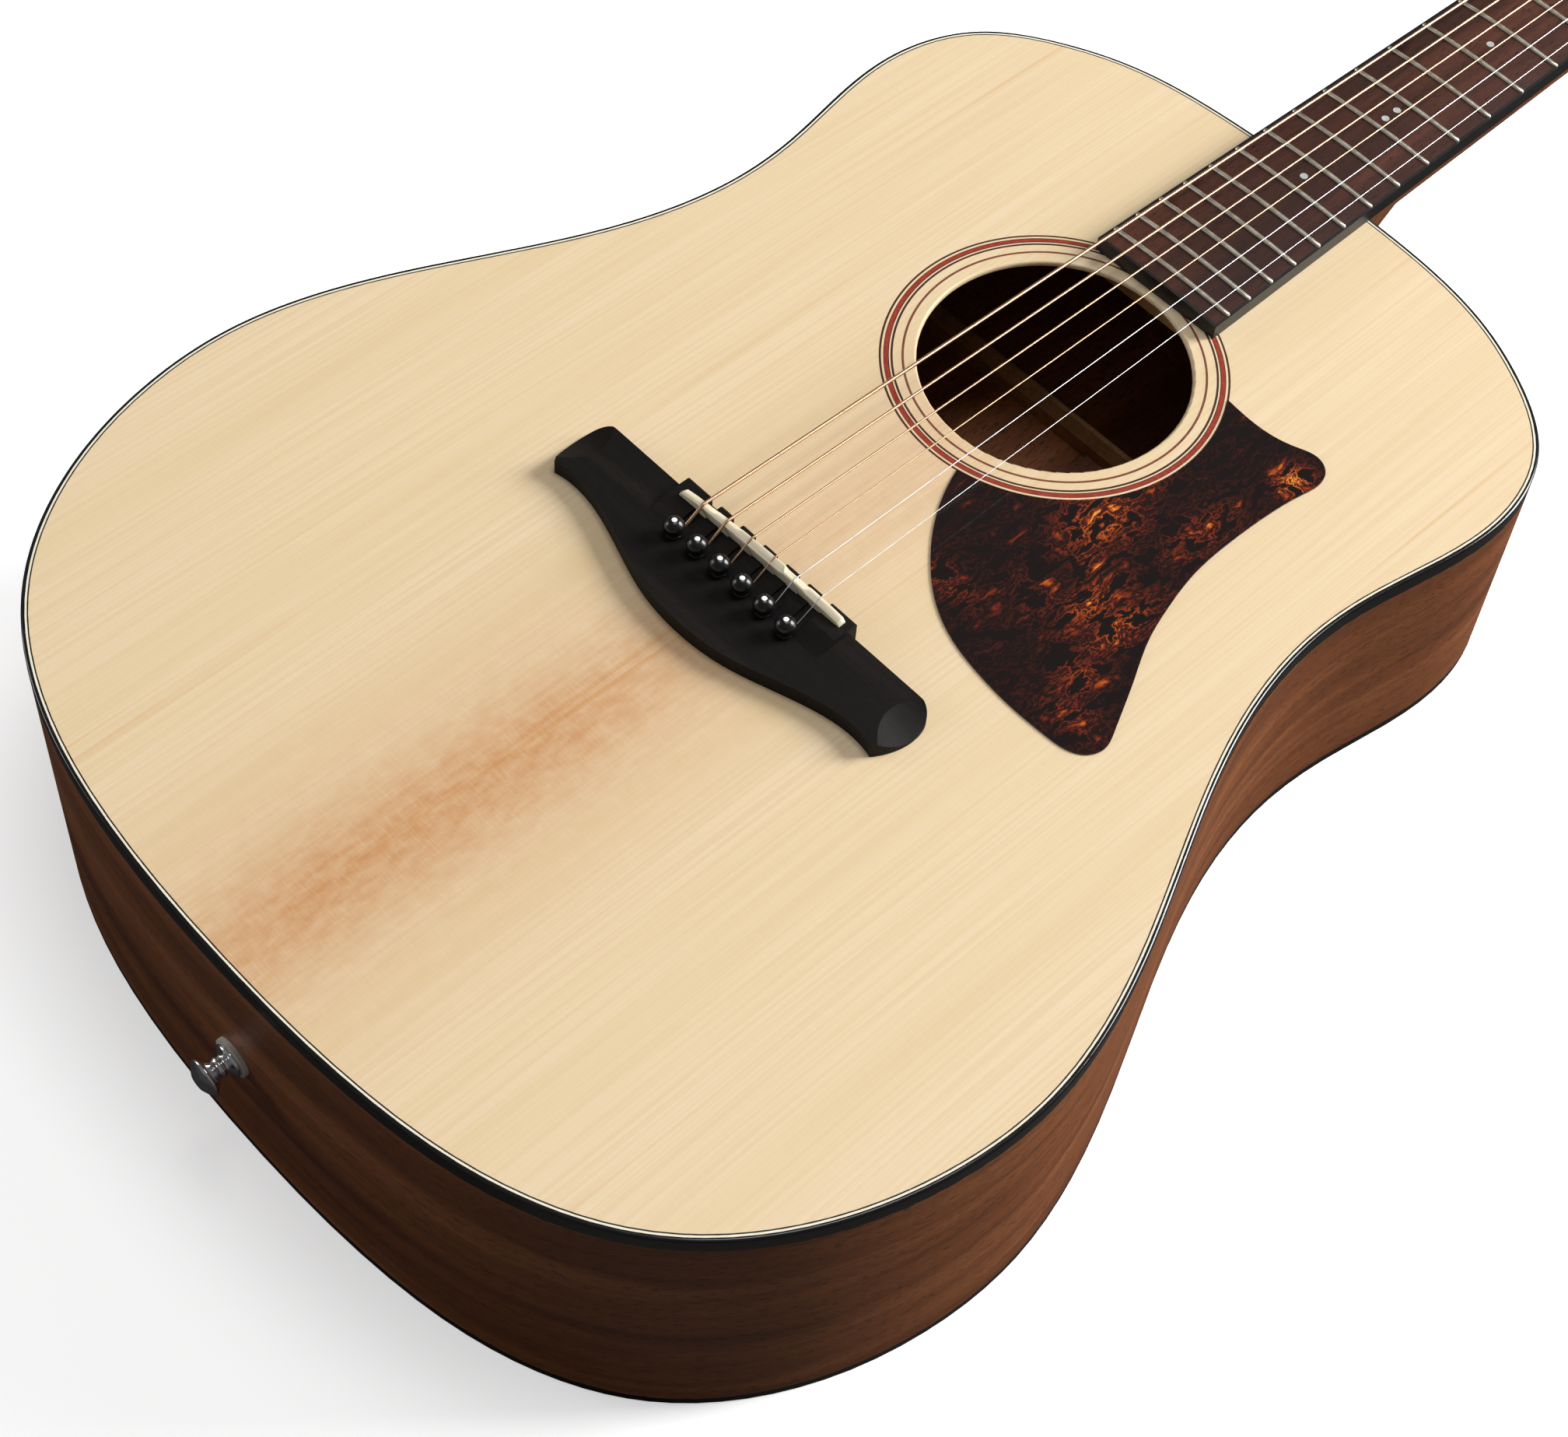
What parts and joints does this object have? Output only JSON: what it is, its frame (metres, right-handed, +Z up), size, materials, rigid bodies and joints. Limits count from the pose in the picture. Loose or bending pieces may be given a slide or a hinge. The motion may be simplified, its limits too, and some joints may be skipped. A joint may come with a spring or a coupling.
{
  "type": "acoustic guitar",
  "caption": "Steel-string acoustic guitar with a flat spruce top, dark bindings, tortoiseshell pickguard, pin bridge, bound fretboard and turning tuning machines.",
  "frame": {"origin": "on the flat back's outer face, on the centre line, straight below the saddle line", "axes": "+Z up out of the back with the guitar lying on it, +Y along the body and neck towards the headstock, +X towards the treble side"},
  "size_m": [0.4146, 1.0811, 0.1277],
  "materials": {
    "spruce_top": "satin",
    "mahogany_body": "satin",
    "neck_wood": "satin",
    "brace_wood": "matt",
    "block_wood": "matt",
    "rosewood_board": "satin",
    "bridge_wood": "satin",
    "black_binding": "gloss",
    "white_line": "gloss",
    "dark_line": "gloss",
    "rosette_inlay": "gloss",
    "tortoiseshell": "gloss",
    "bone": "satin",
    "pearl": "gloss",
    "black_pin": "gloss",
    "nickel": "polished",
    "chrome": "polished",
    "washer": "matt",
    "bronze_string": "polished",
    "steel_string": "polished",
    "steel": "satin"
  },
  "bodies": {
    "guitar": {"soundboard": "spruce_top", "back": "mahogany_body", "side_bass": "mahogany_body", "side_treble": "mahogany_body", "top_binding": "black_binding", "back_binding": "black_binding", "purfling_light": "white_line", "purfling_dark": "dark_line", "kerfed_linings": "brace_wood", "neck_block": "block_wood", "end_block": "block_wood", "x_brace_bass": "brace_wood", "x_brace_treble": "brace_wood", "upper_brace": "brace_wood", "tone_bars": "brace_wood", "bridge_plate": "block_wood", "back_braces": "brace_wood", "back_seam_strip": "block_wood", "rosette": "rosette_inlay", "pickguard": "tortoiseshell", "bridge": "bridge_wood", "saddle": "bone", "strap_button": "chrome", "strap_button_washer": "washer", "neck": "neck_wood", "fretboard": "rosewood_board", "fretboard_binding": "black_binding", "frets": "nickel", "position_dots": "pearl", "nut": "bone", "head_veneer": "rosewood_board", "truss_rod": "steel", "tuner_plates": "chrome", "tuner_bushings": "chrome", "tuner_screws": "chrome", "string_1": "steel_string", "string_2": "steel_string", "string_3": "bronze_string", "string_4": "bronze_string", "string_5": "bronze_string", "string_6": "bronze_string"},
    "post_1": {"tuner_post_1": "chrome"},
    "key_1": {"tuner_key_1": "chrome"},
    "pin_1": {"bridge_pin_1": "black_pin"},
    "post_2": {"tuner_post_2": "chrome"},
    "key_2": {"tuner_key_2": "chrome"},
    "pin_2": {"bridge_pin_2": "black_pin"},
    "post_3": {"tuner_post_3": "chrome"},
    "key_3": {"tuner_key_3": "chrome"},
    "pin_3": {"bridge_pin_3": "black_pin"},
    "post_4": {"tuner_post_4": "chrome"},
    "key_4": {"tuner_key_4": "chrome"},
    "pin_4": {"bridge_pin_4": "black_pin"},
    "post_5": {"tuner_post_5": "chrome"},
    "key_5": {"tuner_key_5": "chrome"},
    "pin_5": {"bridge_pin_5": "black_pin"},
    "post_6": {"tuner_post_6": "chrome"},
    "key_6": {"tuner_key_6": "chrome"},
    "pin_6": {"bridge_pin_6": "black_pin"},
    "truss_nut": {"truss_rod_nut": "steel"}
  },
  "joints": [
    {"name": "key_turn_1", "type": "hinge", "parent": "guitar", "child": "key_1", "pos_m": [0.021, 0.69302, 0.04782], "axis": [1, 0, 0], "continuous": true},
    {"name": "post_turn_1", "type": "hinge", "parent": "guitar", "child": "post_1", "pos_m": [0.021, 0.70658, 0.06391], "axis": [0, 0.2756, 0.9613], "continuous": true},
    {"name": "pin_pull_1", "type": "slide", "parent": "guitar", "child": "pin_1", "axis": [0, 0.0523, 0.9986], "range_m": [0, 0.03]},
    {"name": "key_turn_2", "type": "hinge", "parent": "guitar", "child": "key_2", "pos_m": [0.021, 0.7334, 0.03625], "axis": [1, 0, 0], "continuous": true},
    {"name": "post_turn_2", "type": "hinge", "parent": "guitar", "child": "post_2", "pos_m": [0.021, 0.74696, 0.05233], "axis": [0, 0.2756, 0.9613], "continuous": true},
    {"name": "pin_pull_2", "type": "slide", "parent": "guitar", "child": "pin_2", "axis": [0, 0.0523, 0.9986], "range_m": [0, 0.03]},
    {"name": "key_turn_3", "type": "hinge", "parent": "guitar", "child": "key_3", "pos_m": [0.021, 0.77377, 0.02467], "axis": [1, 0, 0], "continuous": true},
    {"name": "post_turn_3", "type": "hinge", "parent": "guitar", "child": "post_3", "pos_m": [0.021, 0.78733, 0.04076], "axis": [0, 0.2756, 0.9613], "continuous": true},
    {"name": "pin_pull_3", "type": "slide", "parent": "guitar", "child": "pin_3", "axis": [0, 0.0523, 0.9986], "range_m": [0, 0.03]},
    {"name": "key_turn_4", "type": "hinge", "parent": "guitar", "child": "key_4", "pos_m": [-0.021, 0.77377, 0.02467], "axis": [-1, 0, 0], "continuous": true},
    {"name": "post_turn_4", "type": "hinge", "parent": "guitar", "child": "post_4", "pos_m": [-0.021, 0.78733, 0.04076], "axis": [0, 0.2756, 0.9613], "continuous": true},
    {"name": "pin_pull_4", "type": "slide", "parent": "guitar", "child": "pin_4", "axis": [0, 0.0523, 0.9986], "range_m": [0, 0.03]},
    {"name": "key_turn_5", "type": "hinge", "parent": "guitar", "child": "key_5", "pos_m": [-0.021, 0.7334, 0.03625], "axis": [-1, 0, 0], "continuous": true},
    {"name": "post_turn_5", "type": "hinge", "parent": "guitar", "child": "post_5", "pos_m": [-0.021, 0.74696, 0.05233], "axis": [0, 0.2756, 0.9613], "continuous": true},
    {"name": "pin_pull_5", "type": "slide", "parent": "guitar", "child": "pin_5", "axis": [0, 0.0523, 0.9986], "range_m": [0, 0.03]},
    {"name": "key_turn_6", "type": "hinge", "parent": "guitar", "child": "key_6", "pos_m": [-0.021, 0.69302, 0.04782], "axis": [-1, 0, 0], "continuous": true},
    {"name": "post_turn_6", "type": "hinge", "parent": "guitar", "child": "post_6", "pos_m": [-0.021, 0.70658, 0.06391], "axis": [0, 0.2756, 0.9613], "continuous": true},
    {"name": "pin_pull_6", "type": "slide", "parent": "guitar", "child": "pin_6", "axis": [0, 0.0523, 0.9986], "range_m": [0, 0.03]},
    {"name": "truss_nut_turn", "type": "hinge", "parent": "guitar", "child": "truss_nut", "pos_m": [0, 0.25101, 0.08909], "axis": [0, 0.9986, -0.0523], "range_deg": [-180, 180]}
  ],
  "couplings": [
    {"joint": "post_turn_1", "follows": "key_turn_1", "ratio": 0.055556},
    {"joint": "post_turn_2", "follows": "key_turn_2", "ratio": 0.055556},
    {"joint": "post_turn_3", "follows": "key_turn_3", "ratio": 0.055556},
    {"joint": "post_turn_4", "follows": "key_turn_4", "ratio": 0.055556},
    {"joint": "post_turn_5", "follows": "key_turn_5", "ratio": 0.055556},
    {"joint": "post_turn_6", "follows": "key_turn_6", "ratio": 0.055556}
  ]
}
